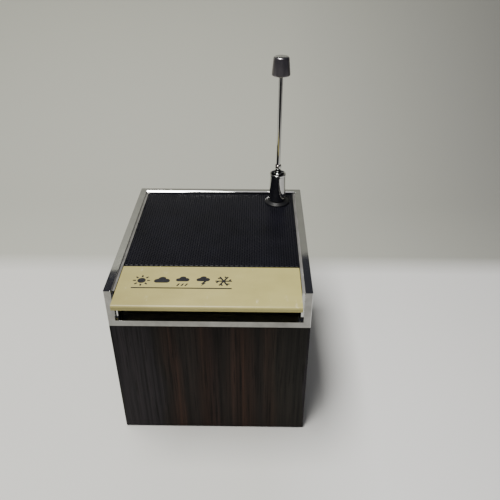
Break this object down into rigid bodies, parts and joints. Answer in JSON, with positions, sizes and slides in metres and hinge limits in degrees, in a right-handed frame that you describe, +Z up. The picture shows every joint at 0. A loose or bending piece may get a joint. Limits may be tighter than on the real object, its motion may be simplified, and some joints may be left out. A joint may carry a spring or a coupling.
{
  "type": "battery weather-band radio",
  "caption": "Cube-shaped tabletop receiver with a wood-grain body, plated top frame, pivoting touch bar, perforated speaker grille and telescopic antenna.",
  "frame": {"origin": "centre of the bounding box in plan, at the height of the feet's undersides", "axes": "+Z up along the antenna, +X to the right as seen from the front, +Y from the front (touch bar side) to the back"},
  "size_m": [0.095, 0.112, 0.1729],
  "materials": {
    "wood_grain": "dark rosewood grain, satin",
    "chrome": "bright plating with fine wear",
    "ivory_plastic": "warm ivory, satin",
    "black_metal": "satin black paint",
    "black_plastic": "satin",
    "black_cloth": "open weave",
    "rubber": "matt",
    "steel": "zinc plated",
    "paper": "pressed felted paper",
    "ferrite": "matt ground",
    "board_brown": "phenolic laminate",
    "brass": "turned",
    "can_tin": "drawn can, satin",
    "battery_skin": "plain printed jacket",
    "wire_red": "insulation",
    "capacitor_blue": "shrink sleeve"
  },
  "bodies": {
    "cabinet": {"cabinet_sleeve": "wood_grain", "chrome_top_frame": "chrome", "front_recess_panel": "black_plastic", "top_deck": "black_plastic", "speaker_grille": "black_metal", "grille_cloth": "black_cloth", "touch_bar_pivot_rod": "steel", "push_switch_body": "can_tin", "antenna_grommet": "black_plastic", "antenna_base_sleeve": "chrome", "antenna_outer_tube": "brass", "antenna_clip": "brass", "speaker_basket": "steel", "speaker_cone": "paper", "speaker_magnet": "ferrite", "circuit_board": "board_brown", "board_screw_1": "steel", "board_screw_2": "steel", "board_screw_3": "steel", "board_screw_4": "steel", "if_transformer_1": "can_tin", "if_transformer_2": "can_tin", "if_transformer_3": "can_tin", "output_transformer": "ferrite", "filter_capacitor": "capacitor_blue", "coupling_capacitor": "capacitor_blue", "crystal_can": "can_tin", "tuning_capacitor": "ivory_plastic", "volume_control": "can_tin", "rear_control_panel": "black_plastic", "adapter_jack": "black_plastic", "adapter_jack_nut": "chrome", "base_plate": "black_plastic", "battery": "battery_skin", "battery_snap": "black_plastic", "foot_front_left": "rubber", "foot_front_right": "rubber", "foot_back_left": "rubber", "foot_back_right": "rubber", "base_screw_front_left": "steel", "base_screw_front_right": "steel", "base_screw_back_left": "steel", "base_screw_back_right": "steel", "battery_lead_red": "wire_red", "battery_lead_black": "rubber", "speaker_lead_red": "wire_red", "speaker_lead_black": "rubber"},
    "bar": {"touch_bar": "ivory_plastic"},
    "plunger": {"push_switch_plunger": "black_plastic"},
    "antenna_lower": {"antenna_lower_section": "brass"},
    "antenna_middle": {"antenna_middle_section": "brass"},
    "antenna_tip": {"antenna_tip_rod": "brass", "antenna_tip_cap": "chrome"},
    "volume_wheel": {"volume_shaft": "brass", "volume_thumbwheel": "black_plastic"},
    "tuning_wheel": {"tuning_shaft": "brass", "tuning_thumbwheel": "black_plastic", "tuning_wheel_screw": "steel"},
    "door": {"battery_door": "black_plastic"}
  },
  "joints": [
    {"name": "touch_bar_press", "type": "hinge", "parent": "cabinet", "child": "bar", "pos_m": [0, -0.02225, 0.0848], "axis": [1, 0, 0], "range_deg": [0, 4], "stiffness_Nm_per_rad": 0.3, "springref_deg": -5.73},
    {"name": "switch_plunger_stroke", "type": "slide", "parent": "cabinet", "child": "plunger", "axis": [0, 0, -1], "range_m": [0, 0.0009]},
    {"name": "antenna_lower_slide", "type": "slide", "parent": "cabinet", "child": "antenna_lower", "axis": [0, 0, 1], "range_m": [0, 0.055]},
    {"name": "antenna_middle_slide", "type": "slide", "parent": "antenna_lower", "child": "antenna_middle", "axis": [0, 0, 1], "range_m": [0, 0.06]},
    {"name": "antenna_tip_slide", "type": "slide", "parent": "antenna_middle", "child": "antenna_tip", "axis": [0, 0, 1], "range_m": [-0.0545, 0.02]},
    {"name": "volume_turn", "type": "hinge", "parent": "cabinet", "child": "volume_wheel", "pos_m": [-0.0245, 0.046, 0.0488], "axis": [0, 0, 1], "range_deg": [-135, 135]},
    {"name": "tuning_turn", "type": "hinge", "parent": "cabinet", "child": "tuning_wheel", "pos_m": [0.004, 0.041, 0.0488], "axis": [0, 0, 1], "range_deg": [-90, 90]},
    {"name": "battery_door_swing", "type": "hinge", "parent": "cabinet", "child": "door", "pos_m": [0, 0.0145, 0.0031], "axis": [1, 0, 0], "range_deg": [0, 95]}
  ],
  "couplings": [
    {"joint": "switch_plunger_stroke", "follows": "touch_bar_press", "m_per_rad": 0.011}
  ]
}
